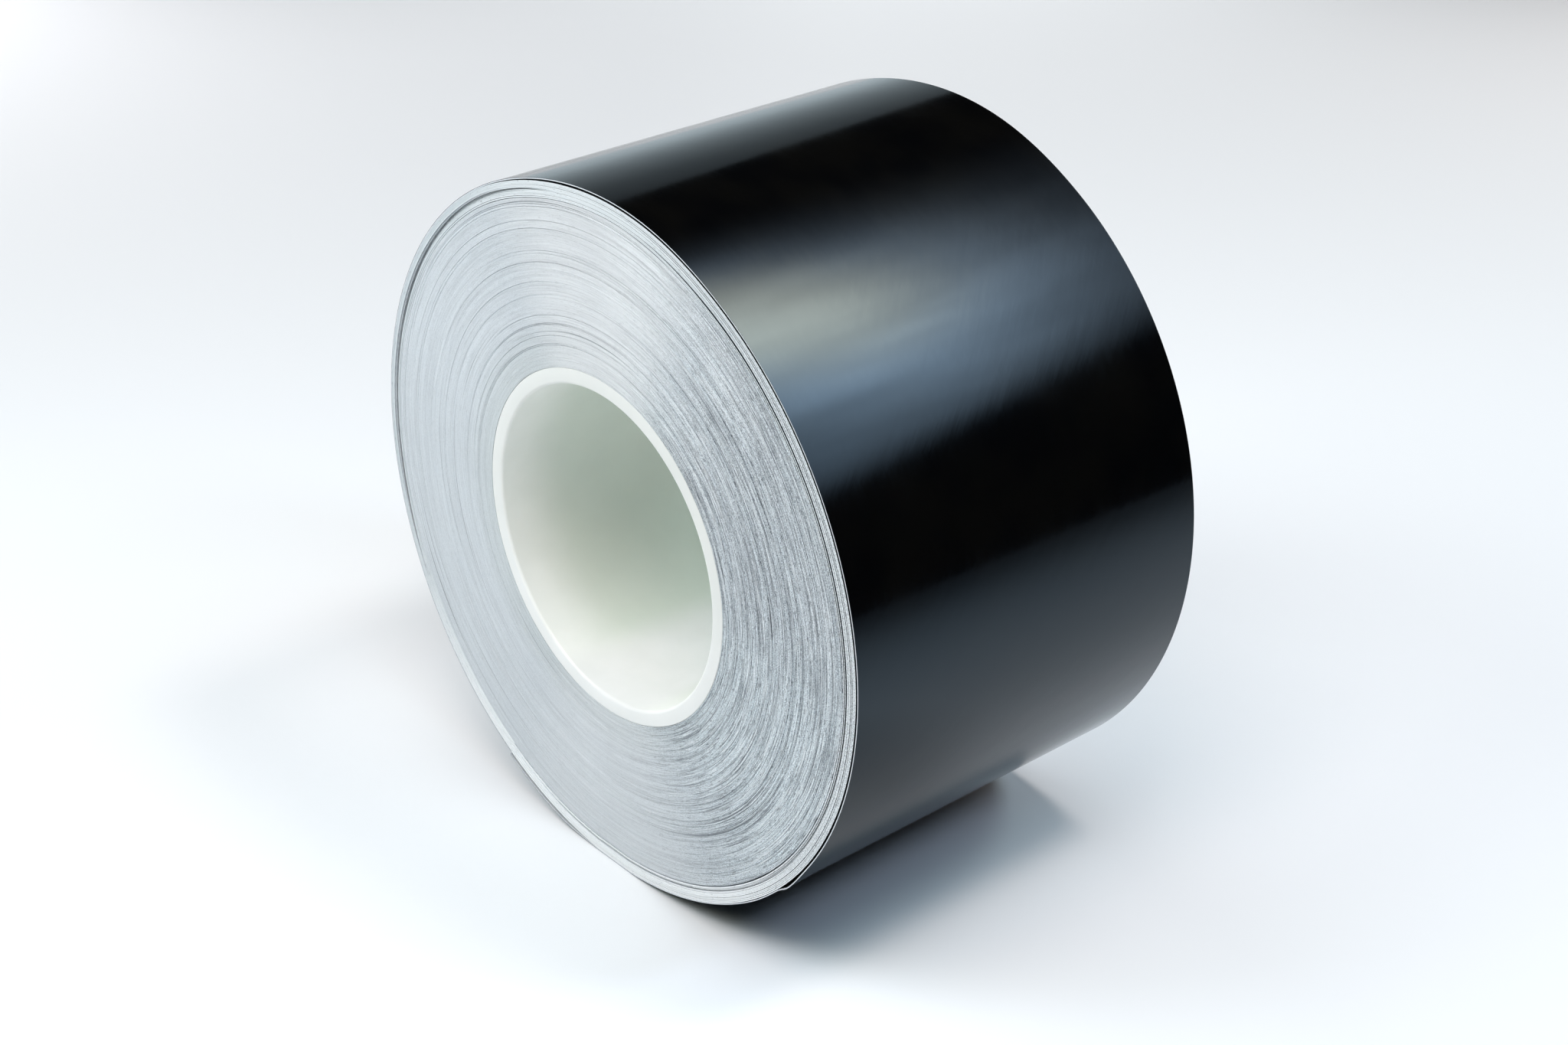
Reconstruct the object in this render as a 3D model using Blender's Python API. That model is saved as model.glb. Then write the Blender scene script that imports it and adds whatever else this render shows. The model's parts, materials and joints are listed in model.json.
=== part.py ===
"""A wide roll of black adhesive tape on a moulded core. It stands on its curved side, with its free end lifted.

The origin is the middle of the bore, +Y runs along the roll's axis from the front face to the back, and +Z is up.
A place round the roll is its clock angle in degrees: 0 at the top (+Z), 90 towards +X and 180 at the bottom.
The strip is wound clockwise from the inside out: it ends past 180, where its last stretch is the free tail.
"""

import math

import bmesh
import bpy

MM = 0.001

# Driving dimensions.
ROLL_RADIUS = 84.5 * MM
TAPE_WIDTH = 100.0 * MM
BORE_RADIUS = 38.1 * MM  # a 3 inch core
CORE_WALL = 3.8 * MM
LIP_BEVEL = 0.8 * MM
FILM_THICKNESS = 0.08 * MM
ADHESIVE_THICKNESS = 0.21 * MM
PLY_GAP = 0.02 * MM
TOUCHING_GAP = 0.04 * MM  # between turns that bear on each other

# Where the winding changes, as radii.
INNER_TURNS_RADIUS = 54.0 * MM
MIDDLE_TURNS_RADIUS = 67.0 * MM
PACK_RADIUS = 80.0 * MM
LOOSE_1_RADIUS = 81.3 * MM
LOOSE_2_RADIUS = 82.4 * MM
SECOND_TURN_RADIUS = 84.3 * MM  # what shows beside the tail's tip

# The main pack sits a little to the right and up in its loose turns.
PACK_SHIFT = 0.76 * MM
PACK_SHIFT_ANGLE = 50.0
# The loose turns' slack gathers on the left.
SLACK_ANGLE = -80.0
SLACK_1 = 0.20 * MM
SLACK_2 = 0.50 * MM
SLACK_3 = 0.15 * MM

# The outermost turn: open from the top to the lower right, and pressed flat where the roll stands.
OPEN_GAP = 0.40 * MM
OPENING_STARTS, OPEN_FROM = -40.0, 20.0
OPEN_TO, OPENING_ENDS = 130.0, 165.0
SETTLES_FROM, SETTLES_TO = -30.0, -150.0
STANDS_AT = 180.0
FLAT_HALF_ANGLE = 4.0

# The free tail, in links that hinge on lines along the strip's width.
TAIL_LIFT = 1.0 * MM
TAIL_LIFTED_AFTER = 10.0  # degrees past the flat
TAIL_STARTS = STANDS_AT + 9.0
TAIL_TIP = STANDS_AT + 29.0
TAIL_LINKS = 3
TAIL_FACETS_PER_LINK = 3

FACETS = 90
END_GAP = 0.3 * MM  # between the ends of neighbouring lengths of strip

STRIP_THICKNESS = FILM_THICKNESS + PLY_GAP + ADHESIVE_THICKNESS
CORE_RADIUS = BORE_RADIUS + CORE_WALL
FACET_ANGLE = 360.0 / FACETS
END_GAP_ANGLE = math.degrees(END_GAP / ROLL_RADIUS)
FLOOR_DEPTH = ROLL_RADIUS * math.cos(math.radians(FLAT_HALF_ANGLE))
STEP_ANGLE = TAIL_TIP - 360.0 + 1.0  # where the outermost turn starts, just past the tail's tip
SHARP_ANGLE = math.radians(30.0)

# Colour, roughness and metallic value of each material.
LOOKS = {
    "core_plastic": ((0.84, 0.86, 0.82), 0.35, 0.0),
    "dense_cut_edges": ((0.55, 0.58, 0.58), 0.55, 0.25),
    "cut_edges": ((0.66, 0.69, 0.73), 0.5, 0.25),
    "adhesive_ply": ((0.72, 0.75, 0.78), 0.5, 0.1),
    "backing_film": ((0.012, 0.013, 0.015), 0.22, 0.0),
}


def clear_scene():
    for old in list(bpy.data.objects):
        bpy.data.objects.remove(old)


def material(name):
    """The named material, made when it is first asked for."""
    made = bpy.data.materials.get(name)
    if made is None:
        colour, roughness, metallic = LOOKS[name]
        made = bpy.data.materials.new(name)
        made.use_nodes = True
        shader = made.node_tree.nodes["Principled BSDF"]
        shader.inputs["Base Color"].default_value = (*colour, 1.0)
        shader.inputs["Roughness"].default_value = roughness
        shader.inputs["Metallic"].default_value = metallic
    return made


def ease(value, start, end):
    """0 before start, 1 after end, and a smooth rise between them."""
    t = min(max((value - start) / (end - start), 0.0), 1.0)
    return t * t * (3.0 - 2.0 * t)


def at_clock(angle, radius, y=0.0):
    turn = math.radians(angle)
    return (radius * math.sin(turn), y, radius * math.cos(turn))


def pack_surface(angle):
    return PACK_RADIUS + PACK_SHIFT * math.cos(math.radians(angle - PACK_SHIFT_ANGLE))


def slack(angle, widest):
    """The gap under a loose group of turns: touching on one side, widest on the other."""
    return TOUCHING_GAP + widest * (1.0 + math.cos(math.radians(angle - SLACK_ANGLE))) / 2.0


def strip_surface(angle):
    """Outer radius of the strip's last turn and tail, from STEP_ANGLE up to TAIL_TIP."""
    if angle < SETTLES_FROM:
        return ROLL_RADIUS - (ROLL_RADIUS - SECOND_TURN_RADIUS) * ease(-angle, -SETTLES_FROM, -SETTLES_TO)
    past = angle - STANDS_AT
    if abs(past) <= FLAT_HALF_ANGLE:
        return FLOOR_DEPTH / math.cos(math.radians(past))
    return ROLL_RADIUS + TAIL_LIFT * ease(past, FLAT_HALF_ANGLE, FLAT_HALF_ANGLE + TAIL_LIFTED_AFTER)


def gap_under_last_turn(angle):
    opened = ease(angle, OPENING_STARTS, OPEN_FROM) * (1.0 - ease(angle, OPEN_TO, OPENING_ENDS))
    return TOUCHING_GAP + OPEN_GAP * opened


def loose_3_surface(angle):
    """Outer radius of the turns under the last one, which steps out by a turn below the tail."""
    if angle < STEP_ANGLE:
        pressed = FLOOR_DEPTH - STRIP_THICKNESS - TOUCHING_GAP
        return min(SECOND_TURN_RADIUS, pressed / abs(math.cos(math.radians(angle))))
    return strip_surface(angle) - STRIP_THICKNESS - gap_under_last_turn(angle)


def full_circle():
    return [FACET_ANGLE * k - 180.0 for k in range(FACETS)]


def between(first, last):
    """The ends of a stretch and the facet corners inside it."""
    corners = [FACET_ANGLE * k for k in range(-FACETS, FACETS)]
    return [first] + [a for a in corners if first < a < last] + [last]


def wound_mesh(name, angles, inner, outer, closed, pivot=(0.0, 0.0, 0.0)):
    """A length of winding between two radii that change with the angle, as wide as the tape.

    Its front face is built as a row of quads and extruded along the axis. pivot becomes the mesh's origin.
    """
    front = -TAPE_WIDTH / 2.0
    shape = bmesh.new()
    rails = [
        (shape.verts.new(at_clock(a, inner(a), front)), shape.verts.new(at_clock(a, outer(a), front)))
        for a in angles
    ]
    following = rails[1:] + rails[:1] if closed else rails[1:]
    for (low, high), (next_low, next_high) in zip(rails, following):
        shape.faces.new((low, next_low, next_high, high))
    grown = bmesh.ops.extrude_face_region(shape, geom=shape.faces[:])
    moved = [item for item in grown["geom"] if isinstance(item, bmesh.types.BMVert)]
    bmesh.ops.translate(shape, verts=moved, vec=(0.0, TAPE_WIDTH, 0.0))
    bmesh.ops.translate(shape, verts=shape.verts[:], vec=[-value for value in pivot])
    return finished_mesh(name, shape)


def finished_mesh(name, shape):
    bmesh.ops.recalc_face_normals(shape, faces=shape.faces[:])
    mesh = bpy.data.meshes.new(name)
    shape.to_mesh(mesh)
    shape.free()
    mesh.shade_smooth()
    mesh.set_sharp_from_angle(angle=SHARP_ANGLE)
    return mesh


def add_object(name, mesh, look, parent=None):
    made = bpy.data.objects.new(name, mesh)
    mesh.materials.append(material(look))
    made.parent = parent
    bpy.context.scene.collection.objects.link(made)
    return made


def build_core():
    """A tube turned about the axis, with a bevel on each inner lip."""
    end = TAPE_WIDTH / 2.0
    outline = [
        (BORE_RADIUS, -end + LIP_BEVEL),
        (BORE_RADIUS + LIP_BEVEL, -end),
        (CORE_RADIUS, -end),
        (CORE_RADIUS, end),
        (BORE_RADIUS + LIP_BEVEL, end),
        (BORE_RADIUS, end - LIP_BEVEL),
    ]
    shape = bmesh.new()
    corners = [shape.verts.new((0.0, y, radius)) for radius, y in outline]
    edges = [shape.edges.new((a, b)) for a, b in zip(corners, corners[1:] + corners[:1])]
    bmesh.ops.spin(
        shape,
        geom=corners + edges,
        cent=(0.0, 0.0, 0.0),
        axis=(0.0, 1.0, 0.0),
        angle=2.0 * math.pi,
        steps=FACETS,
        use_merge=True,
    )
    add_object("core_tube", finished_mesh("core_tube", shape), "core_plastic")


def build_pack():
    """The tight turns, in three groups that meet face to face."""
    groups = (
        ("wound_turns_inner", lambda a: CORE_RADIUS, lambda a: INNER_TURNS_RADIUS, "dense_cut_edges"),
        ("wound_turns_middle", lambda a: INNER_TURNS_RADIUS, lambda a: MIDDLE_TURNS_RADIUS, "cut_edges"),
        ("wound_turns_outer", lambda a: MIDDLE_TURNS_RADIUS, pack_surface, "cut_edges"),
    )
    for name, inner, outer, look in groups:
        mesh = wound_mesh(name, full_circle(), lambda a: inner(a) + TOUCHING_GAP, outer, closed=True)
        add_object(name, mesh, look)


def build_loose_turns():
    """Three groups of looser turns. The last one has the step where the outermost turn starts."""
    stepped = sorted(full_circle() + [STEP_ANGLE - END_GAP_ANGLE, STEP_ANGLE])
    groups = (
        ("loose_turns_1", full_circle(), pack_surface, SLACK_1, lambda a: LOOSE_1_RADIUS),
        ("loose_turns_2", full_circle(), lambda a: LOOSE_1_RADIUS, SLACK_2, lambda a: LOOSE_2_RADIUS),
        ("loose_turns_3", stepped, lambda a: LOOSE_2_RADIUS, SLACK_3, loose_3_surface),
    )
    for name, angles, below, widest, outer in groups:
        mesh = wound_mesh(name, angles, lambda a: below(a) + slack(a, widest), outer, closed=True)
        add_object(name, mesh, "cut_edges")


def build_plies(name, angles, pivot=(0.0, 0.0, 0.0), parent=None):
    """A length of the strip: the film outside, the adhesive-coated ply under it."""
    plies = (
        ("film", 0.0, FILM_THICKNESS, "backing_film"),
        ("adhesive", FILM_THICKNESS + PLY_GAP, STRIP_THICKNESS, "adhesive_ply"),
    )
    for ply, top, bottom, look in plies:
        mesh = wound_mesh(
            f"{name}_{ply}",
            angles,
            lambda a: strip_surface(a) - bottom,
            lambda a: strip_surface(a) - top,
            closed=False,
            pivot=pivot,
        )
        add_object(f"{name}_{ply}", mesh, look, parent)


def build_outermost_turn():
    build_plies("outermost_turn", between(STEP_ANGLE + END_GAP_ANGLE / 2.0, TAIL_STARTS - END_GAP_ANGLE / 2.0))


def build_tail():
    """The lifted free end: links in a chain, each hung from an empty on the hinge line before it."""
    link_angle = (TAIL_TIP - TAIL_STARTS) / TAIL_LINKS
    parent, parent_pivot = None, (0.0, 0.0, 0.0)
    for number in range(1, TAIL_LINKS + 1):
        hinge_angle = TAIL_STARTS + (number - 1) * link_angle
        pivot = at_clock(hinge_angle, strip_surface(hinge_angle) - STRIP_THICKNESS / 2.0)
        hinge = bpy.data.objects.new(f"tail_hinge_{number}", None)
        hinge.location = [here - before for here, before in zip(pivot, parent_pivot)]
        hinge.parent = parent
        bpy.context.scene.collection.objects.link(hinge)
        first = hinge_angle + END_GAP_ANGLE / 2.0
        last = hinge_angle + link_angle - END_GAP_ANGLE / 2.0
        step = (last - first) / TAIL_FACETS_PER_LINK
        angles = [first + step * k for k in range(TAIL_FACETS_PER_LINK + 1)]
        build_plies(f"tail_{number}", angles, pivot, hinge)
        parent, parent_pivot = hinge, pivot


clear_scene()
build_core()
build_pack()
build_loose_turns()
build_outermost_turn()
build_tail()
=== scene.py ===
"""The looks of a wide roll of black adhesive tape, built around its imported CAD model.

Lengths are in metres, in the CAD model's frame: the origin is the middle of the bore, +Y runs along the
axis from the front face to the back, and +Z is up. A place round the roll is its clock angle in degrees:
0 at the top, 90 towards +X and 180 at the bottom. The strip winds clockwise from the inside out, so its
tip is past 180. A pass is one turn of the strip, counted inwards from the last turn, which is pass 0.
"""

import json
import math

import bpy
import numpy as np
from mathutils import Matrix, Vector


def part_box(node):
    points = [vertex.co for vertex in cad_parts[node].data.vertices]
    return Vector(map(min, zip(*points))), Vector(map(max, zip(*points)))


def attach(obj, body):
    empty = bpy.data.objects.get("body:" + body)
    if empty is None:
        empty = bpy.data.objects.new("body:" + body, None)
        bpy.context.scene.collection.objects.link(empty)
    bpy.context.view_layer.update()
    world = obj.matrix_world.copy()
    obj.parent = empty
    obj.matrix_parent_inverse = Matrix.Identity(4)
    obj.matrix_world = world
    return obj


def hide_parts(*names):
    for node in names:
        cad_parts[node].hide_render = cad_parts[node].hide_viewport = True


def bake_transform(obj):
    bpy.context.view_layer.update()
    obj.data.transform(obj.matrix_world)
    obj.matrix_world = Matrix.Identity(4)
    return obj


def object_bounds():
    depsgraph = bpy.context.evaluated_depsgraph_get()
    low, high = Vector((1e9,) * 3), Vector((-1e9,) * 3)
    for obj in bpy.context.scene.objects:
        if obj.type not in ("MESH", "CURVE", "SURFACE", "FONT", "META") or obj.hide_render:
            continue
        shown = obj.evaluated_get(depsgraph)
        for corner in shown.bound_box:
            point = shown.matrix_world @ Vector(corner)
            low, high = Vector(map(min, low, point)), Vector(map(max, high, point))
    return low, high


MM = 0.001
RANDOM_SEED = 41

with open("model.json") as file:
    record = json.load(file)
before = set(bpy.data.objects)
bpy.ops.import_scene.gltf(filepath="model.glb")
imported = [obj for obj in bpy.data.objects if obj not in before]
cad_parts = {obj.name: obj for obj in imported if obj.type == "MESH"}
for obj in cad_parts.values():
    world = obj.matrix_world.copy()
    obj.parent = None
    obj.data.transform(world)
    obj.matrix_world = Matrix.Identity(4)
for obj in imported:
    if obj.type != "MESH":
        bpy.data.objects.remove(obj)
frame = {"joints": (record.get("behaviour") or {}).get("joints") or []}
cad_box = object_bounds()

# Read from the frame.
FRONT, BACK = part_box("core_tube")[0][1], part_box("core_tube")[1][1]
FLOOR = cad_box[0][2]
CORE_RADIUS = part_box("core_tube")[1][2]
INNER_TURNS_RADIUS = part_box("wound_turns_inner")[1][2]
MIDDLE_TURNS_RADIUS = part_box("wound_turns_middle")[1][2]
ROLL_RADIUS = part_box("outermost_turn_film")[1][2]
HINGES = [Vector(joint["pos_m"]) for joint in frame["joints"]]
# The two end faces: the place of each along the axis, and which way is out of the roll there.
END_FACES = ((FRONT, -1.0), (BACK, 1.0))

# The core's moulding.
CORE_WALL = 3.8 * MM
BORE_RADIUS = CORE_RADIUS - CORE_WALL
LIP_BEVEL = 0.8 * MM
RIM_ROUNDING = 0.25 * MM
ROUNDING_POINTS = 6
CORE_SEGMENTS = 240

# The strip.
STRIP_THICKNESS = 0.31 * MM
FILM_THICKNESS = 0.08 * MM
PLY_GAP = 0.01 * MM
TOUCHING_GAP = 0.015 * MM
LOOSE_PASSES = 12
PASSES_PER_GROUP = 4
SEGMENTS_PER_TURN = 360
FINE_SEGMENTS_PER_TURN = 720
# How far from each cut edge the last turn has points: close together near the edge, for the wrinkle.
ROWS_FROM_EDGE = np.array([0.0, 0.4, 1.2, 2.6, 4.6, 7.5, 12.0, 20.0, 34.0]) * MM

# The last turn's outer radius: a round shape, flat where it stands, and lifted past that.
STANDS_AT = 180.0
FLAT_HALF_ANGLE = 4.0
LIFTED_AFTER = 10.0
TAIL_LIFT = 1.0 * MM
# The turn beside the tail's tip is this much below ROLL_RADIUS, and rises to it by this clock angle.
SECOND_TURN_DROP = 0.2 * MM
SECOND_TURN_LEVEL_AT = -30.0
# How far the last turn strays from that shape, by clock angle.
STRAYS = (
    (-151, 0.0),
    (-90, -0.45 * MM),
    (-20, -0.6 * MM),
    (13, 0.2 * MM),
    (32, -0.17 * MM),
    (62, -0.17 * MM),
    (121, 0.15 * MM),
    (150, 0.0),
    (209, 0.0),
)
# A wrinkle in the last turn's front edge: it rises to a sharp corner, drops, and dies away along the axis.
WRINKLE_FROM, WRINKLE_CORNER, WRINKLE_TO, WRINKLE_ENDS = 122.0, 132.2, 135.0, 143.0
WRINKLE_RISE, WRINKLE_DROP = 0.42 * MM, -0.22 * MM
WRINKLE_REACH = 5.0 * MM

# Gaps between passes: the pass above, the clock angles between which the gap opens and then closes, and
# its width.
GAPS = (
    (0, -34, -2, 116, 160, 0.52 * MM),
    (1, 108, 140, 168, 200, 0.04 * MM),
    (2, 112, 148, 172, 204, 0.05 * MM),
    (4, 4, 22, 188, 206, 0.08 * MM),
    (5, -116, -106, -13, -9, 0.05 * MM),
    (6, 14, 30, 112, 132, 0.03 * MM),
    (7, 96, 134, 180, 206, 0.04 * MM),
    (8, 6, 24, 160, 206, 0.09 * MM),
    (10, -128, -104, -22, -2, 0.08 * MM),
    (10, 120, 150, 178, 206, 0.05 * MM),
)
# Stretches where a pass's front edge is set back from the face: as for the gaps, with a depth at the end.
RECESSES = (
    (5, -112, -86, -36, -16, 0.30 * MM),
    (6, -122, -96, -26, -8, 0.90 * MM),
    (7, -118, -90, -30, -12, 0.80 * MM),
    (8, -112, -84, -34, -14, 0.40 * MM),
    (8, 10, 40, 150, 190, 0.16 * MM),
    (9, 8, 36, 180, 206, 0.36 * MM),
    (10, 20, 50, 170, 200, 0.12 * MM),
)

# The loose turns' cut edges: how far each turn's end strays, and its ripple, in waves round the roll.
LOOSE_EDGE_STRAY = 0.09 * MM
LOOSE_EDGE_RIPPLE = 0.009 * MM
LOOSE_RIPPLE_WAVES = (5, 9, 17, 31)

# The tight turns' cut edges. Each turn is a crest, with a slope down to the groove on each side of it.
TURN_WIDTH_SPREAD = 0.15
INNER_SLOPE, OUTER_SLOPE = 0.28, 0.12  # shares of the turn's width
EDGE_WANDER, EDGE_WANDER_TURNS = 0.028 * MM, (3, 7, 19)
EDGE_SCATTER = 0.010 * MM
EDGE_WAVES = 0.012 * MM
PROUD_TURNS, PROUD_SCATTER = 0.12, 0.05 * MM  # the share of the turns that stand out, and how far
GROOVE_DEPTH = 0.05 * MM
DEEP_GROOVES, DEEP_GROOVE_DEPTH = 0.20, 0.16 * MM  # the share that are deep part of the way round
SMOOTH_SIDE_RELIEF = 0.3  # how much of the relief is left on the smooth side of the roll

# Values of the materials. Noise runs from 0 to 1, but keeps mostly between these.
LOW, HIGH = 0.3, 0.7
FILM_TINT = (0.50, 0.74, 0.95, 1.0)
EDGE_DARK = (0.08, 0.09, 0.11)
EDGE_PALE = (0.86, 0.89, 0.91)
# The grain of a cut edge: its size across the turns, and how many times it changes in a radian round them.
GRAIN_SIZE, GRAIN_PER_RADIAN = 0.10 * MM, 240.0

# The photographer's stage.
CAMERA_PLACE = (0.4018, -0.3429, 0.2739)
CAMERA_HEADING, CAMERA_ELEVATION = 49.26, 28.32
CAMERA_LENS = 58.76
# The soft lamps that light the roll and the floor: azimuth, elevation, distance, size and colour. The small
# ones behind the roll throw its shadow forwards.
LAMPS = (
    (30, 65, 0.8, 0.14, (30.6, 26.7, 24.5)),
    (30, 40, 0.8, 0.14, (13.5, 16.5, 21.0)),
    (60, 40, 0.8, 0.14, (11.2, 14.1, 14.5)),
    (0, 64, 0.8, 0.42, (1.50, 2.20, 2.60)),
    (300, 64, 0.8, 0.42, (5.20, 4.60, 4.30)),
    (247, 38, 0.8, 0.42, (2.90, 3.10, 2.70)),
    (240, 40, 0.5, 0.25, (4.30, 4.75, 5.40)),
    (180, 12, 0.8, 0.42, (2.85, 2.80, 2.85)),
    (135, 12, 0.8, 0.42, (1.45, 1.48, 1.50)),
    (90, 12, 0.8, 0.42, (1.70, 1.53, 1.45)),
)
# The lamp that shows in the film: a panel with a bright spot, which fades up its slope and to one side.
SOFTBOX_PLACE = (60.0, 50.0, 0.35)  # azimuth, elevation and distance
SOFTBOX_SIZE = (1.1, 0.9)
SOFTBOX_HOT = (-0.001, 0.092)
SOFTBOX_SPREAD = (0.079, 0.099)
SOFTBOX_SLANT = -0.71
SOFTBOX_PEAK, SOFTBOX_REST = 14.8, 0.7
SOFTBOX_EDGE, SOFTBOX_EDGE_WIDTH = -0.133, 0.030
SOFTBOX_FADE_FROM, SOFTBOX_FADE_TO = -0.22, 0.30
SOFTBOX_UNEVENNESS = 0.20
SOFTBOX_COOL, SOFTBOX_WARM = (1.12, 1.19, 1.30), (1.86, 1.60, 1.26)
# A black card, low at the back right, which the film mirrors as its darkest band.
CARD_PLACE = (42.0, 4.0, 0.60)
CARD_SIZE = (0.50, 0.36)
# The studio's wall as the film mirrors it: its brightness by height, from level to high up, and its tint.
WALL_LEVELS = ((0.0, 0.85), (0.17, 0.50), (0.34, 0.26), (0.50, 0.17), (0.70, 0.11))
WALL_TINT = (0.88, 1.03, 1.10)
BACKDROP = (0.90, 0.92, 0.94)

# The floor. It lies just under the roll, and is a little darker towards -X and -Y, by x + y, as painted
# shade where the lamps light it too brightly.
FLOOR_SIZE = 2.4
FLOOR_DROP = 0.02 * MM
FLOOR_TONE, FLOOR_DARKER_TONE = (0.86, 0.88, 0.90), (0.81, 0.83, 0.85)
DARKER_FROM, DARKER_TO = 0.0, -0.16
# It glows far out, so that there is no dark horizon, and at a spot where the lamps leave too much shadow.
GLOW_COLOUR = (0.88, 0.91, 0.94, 1.0)
FAR_GLOW_FROM, FAR_GLOW_TO, FAR_GLOW = 0.74, 1.02, 0.85
SPOT_PLACE, SPOT_SPREAD, SPOT_GLOW = (-0.095, -0.045), (0.045, 0.036), 0.19
# It is dimmed in reflections in two places, as painted shade: from some way behind the roll outwards, and
# close beside it, where it stands for the roll's shadow.
# For the second, the dimming comes in between the first two values and goes out between the last two.
BEHIND_WAY = (0.743, 0.669)
BEHIND_FROM, BEHIND_TO, BEHIND_DIMMING = 0.10, 0.54, 0.80
BESIDE_X, BESIDE_Y, BESIDE_DIMMING = (0.02, 0.06, 0.15, 0.22), (-0.09, -0.06, 0.0, 0.05), 0.32


def ease(value, start, end):
    """0 before start, 1 after end, and a smooth rise between them."""
    t = np.clip((np.asarray(value, float) - start) / (end - start), 0.0, 1.0)
    return t * t * (3.0 - 2.0 * t)


def at_clock(angle, radius, y):
    """Points at clock angles, with arrays or numbers of the same shape. The last axis is x, y, z."""
    turn = np.radians(angle)
    return np.stack(np.broadcast_arrays(radius * np.sin(turn), y, radius * np.cos(turn)), axis=-1)


def clock_of(point):
    """The clock angle of a point past the bottom, over 180 degrees."""
    return math.degrees(math.atan2(point[0], point[2])) % 360.0


LINK_ANGLE = clock_of(HINGES[1]) - clock_of(HINGES[0])
TIP = clock_of(HINGES[-1]) + LINK_ANGLE
TURN_UNDER_TIP = TIP - 360.0


# The winding -----------------------------------------------------------------------------------------


def strays(angle):
    """The last turn's departure from its plain shape, eased between the chosen places."""
    total = np.full(np.shape(angle), STRAYS[0][1])
    for (start, before), (end, after) in zip(STRAYS, STRAYS[1:]):
        total = total + (after - before) * ease(angle, start, end)
    return total


def last_surface(angle):
    """Outer radius of the strip's last turn and tail, from TURN_UNDER_TIP up to TIP."""
    angle = np.asarray(angle, float)
    past = angle - STANDS_AT
    settled = ROLL_RADIUS - SECOND_TURN_DROP * ease(-angle, -SECOND_TURN_LEVEL_AT, -TURN_UNDER_TIP)
    lifted = settled + TAIL_LIFT * ease(past, FLAT_HALF_ANGLE, FLAT_HALF_ANGLE + LIFTED_AFTER)
    flat = -FLOOR / np.cos(np.radians(np.clip(past, -FLAT_HALF_ANGLE, FLAT_HALF_ANGLE)))
    return np.where(np.abs(past) <= FLAT_HALF_ANGLE, flat, lifted) + strays(angle)


def gap_under(pass_number, angle):
    """The gap under a pass. The one under the last turn also opens where the tail lifts."""
    total = np.full(np.shape(angle), TOUCHING_GAP)
    if pass_number == 0:
        under_tip = last_surface(TIP) - STRIP_THICKNESS - TOUCHING_GAP - last_surface(TURN_UNDER_TIP)
        tail_opens = STANDS_AT + FLAT_HALF_ANGLE
        total = total + under_tip * ease(angle, tail_opens, tail_opens + LIFTED_AFTER)
    for number, opens, opened, closes, closed, width in GAPS:
        if number == pass_number:
            total = total + width * ease(angle, opens, opened) * (1.0 - ease(angle, closes, closed))
    return total


def strip_surface(pass_number, angle):
    """Outer radius of one pass of the strip. Each pass runs on into the next at TURN_UNDER_TIP."""
    radius = last_surface(angle)
    for above in range(pass_number):
        radius = radius - STRIP_THICKNESS - gap_under(above, angle)
    return radius


def pack_surface(angle):
    """Outer radius of the tight turns: a closed ring under the loose passes, which end with a step."""
    way_round = (np.asarray(angle, float) - TURN_UNDER_TIP) / 360.0
    step = STRIP_THICKNESS + TOUCHING_GAP
    return strip_surface(LOOSE_PASSES, angle) - step * way_round


def wrinkle(angle, y):
    """How far the last turn's wrinkle lifts its surface."""
    rise = WRINKLE_RISE * ease(angle, WRINKLE_FROM, WRINKLE_CORNER) ** 2
    fall = (WRINKLE_RISE - WRINKLE_DROP) * ease(angle, WRINKLE_CORNER, WRINKLE_TO)
    back = -WRINKLE_DROP * ease(angle, WRINKLE_TO, WRINKLE_ENDS)
    return (rise - fall + back) * np.exp(-(y - FRONT) / WRINKLE_REACH)


# Meshes ----------------------------------------------------------------------------------------------


def swept_mesh(name, sections, closed, side_looks, looks, sharp_angle=30.0):
    """A closed solid through a row of cross-sections, an array of sections by corners by xyz.

    side_looks gives the material number of each side of the cross-section, and looks the materials.
    """
    count, corners = sections.shape[:2]
    this = np.arange(count if closed else count - 1)[:, None] * corners
    following = (this + corners) % (count * corners)
    side = np.arange(corners)[None, :]
    next_side = (side + 1) % corners
    quads = np.stack([this + side, this + next_side, following + next_side, following + side], axis=-1)
    quads = quads.reshape(-1, 4)
    points = sections.reshape(-1, 3)
    a, b, c, d = (points[quads[:, k]] for k in range(4))
    first_halves = np.einsum("ij,ij->", np.cross(b - a, c - a), a)
    second_halves = np.einsum("ij,ij->", np.cross(c - a, d - a), a)
    faces = quads.tolist()
    if not closed:
        last = (count - 1) * corners
        faces.append(list(range(corners))[::-1])
        faces.append(list(range(last, last + corners)))
    inside_out = first_halves + second_halves < 0
    if inside_out:
        faces = [face[::-1] for face in faces]
    mesh = bpy.data.meshes.new(name)
    mesh.from_pydata(points.tolist(), [], faces)
    for look in looks:
        mesh.materials.append(look)
    repeats = np.tile(np.asarray(side_looks, np.int32), len(this))
    end_looks = np.full(len(faces) - len(repeats), side_looks[-1], np.int32)
    mesh.polygons.foreach_set("material_index", np.concatenate([repeats, end_looks]))
    mesh.shade_smooth()
    mesh.set_sharp_from_angle(angle=math.radians(sharp_angle))
    mesh.update()
    return mesh


def add_piece(name, mesh, body, slot, *nodes):
    """Puts a mesh in the scene, riding on a body if one is given, and standing for some CAD nodes."""
    piece = bpy.data.objects.new(name, mesh)
    bpy.context.scene.collection.objects.link(piece)
    if body:
        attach(piece, body)
    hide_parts(*nodes)
    return piece


def smooth_wander(randoms, count, steps, reach):
    """A random value for each of count places, from waves of a few lengths, each within +-reach."""
    places = np.arange(count)
    total = np.zeros(count)
    for step in steps:
        knots = randoms.uniform(-reach, reach, int(count / step) + 2)
        total += np.interp(places / step, np.arange(len(knots)), knots)
    return total / math.sqrt(len(steps))


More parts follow.
